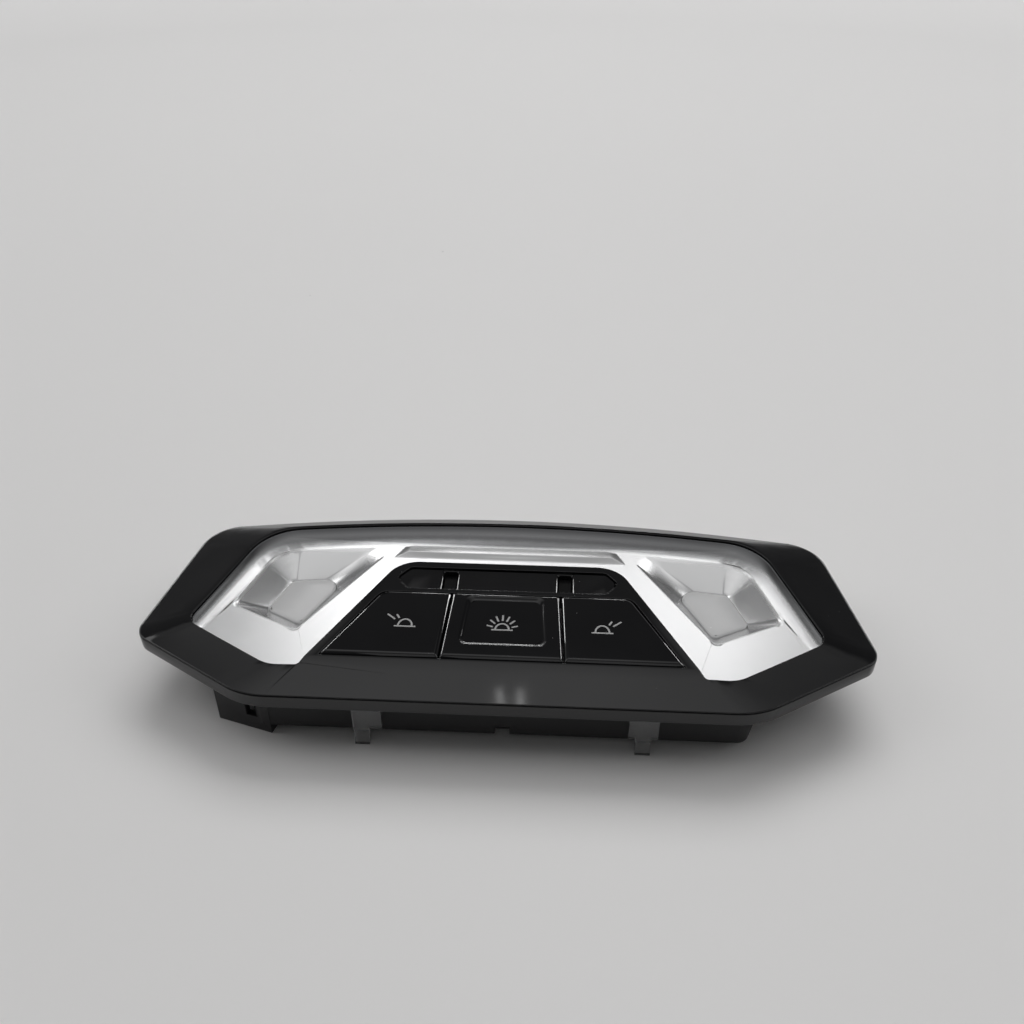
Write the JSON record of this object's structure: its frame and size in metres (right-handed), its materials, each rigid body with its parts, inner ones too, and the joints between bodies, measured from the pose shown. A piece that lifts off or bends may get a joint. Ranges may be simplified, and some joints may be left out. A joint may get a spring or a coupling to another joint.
{
  "type": "interior reading light",
  "caption": "Flat roof-lining reading light with a sloping gloss black bezel, satin silver reflector pockets with clear lenses and a row of press keys.",
  "frame": {"origin": "bottom centre of the whole light: middle of its width and depth, on the plane on which its legs, bracket and lugs stand", "axes": "+Z out of the face into the cabin, +X to the right seen from the front, +Y to the back edge"},
  "size_m": [0.1638, 0.0628, 0.019],
  "materials": {
    "gloss_black": "gloss",
    "key_black": "gloss",
    "satin_silver": "satin",
    "clear_lens": "clear",
    "clear_plastic": "clear",
    "white_plastic": "matte",
    "matte_black": "matte",
    "board_green": "satin",
    "chip_black": "matte",
    "led_yellow": "satin",
    "pin_metal": "satin",
    "screw_steel": "satin"
  },
  "bodies": {
    "lamp_body": {"bezel": "gloss_black", "silver_trim": "satin_silver", "left_lens": "clear_lens", "right_lens": "clear_lens", "slot_bar": "gloss_black", "left_slot_guide": "clear_plastic", "right_slot_guide": "clear_plastic", "light_box": "white_plastic", "circuit_board": "board_green", "left_reading_led": "led_yellow", "right_reading_led": "led_yellow", "button_leds": "led_yellow", "slot_leds": "led_yellow", "driver_chip": "chip_black", "left_switch": "chip_black", "centre_switch": "chip_black", "right_switch": "chip_black", "connector_socket": "matte_black", "connector_pins": "pin_metal", "clear_frame": "clear_plastic", "rear_housing": "matte_black", "housing_screws": "screw_steel"},
    "left_key": {"left_button": "key_black", "left_plunger": "white_plastic"},
    "centre_key": {"centre_button": "key_black", "centre_plunger": "white_plastic"},
    "right_key": {"right_button": "key_black", "right_plunger": "white_plastic"}
  },
  "joints": [
    {"name": "left_press", "type": "slide", "parent": "lamp_body", "child": "left_key", "axis": [0, 0, -1], "range_m": [0, 0.0007], "stiffness_N_per_m": 3000},
    {"name": "centre_press", "type": "slide", "parent": "lamp_body", "child": "centre_key", "axis": [0, 0, -1], "range_m": [0, 0.0007], "stiffness_N_per_m": 3000},
    {"name": "right_press", "type": "slide", "parent": "lamp_body", "child": "right_key", "axis": [0, 0, -1], "range_m": [0, 0.0007], "stiffness_N_per_m": 3000}
  ]
}
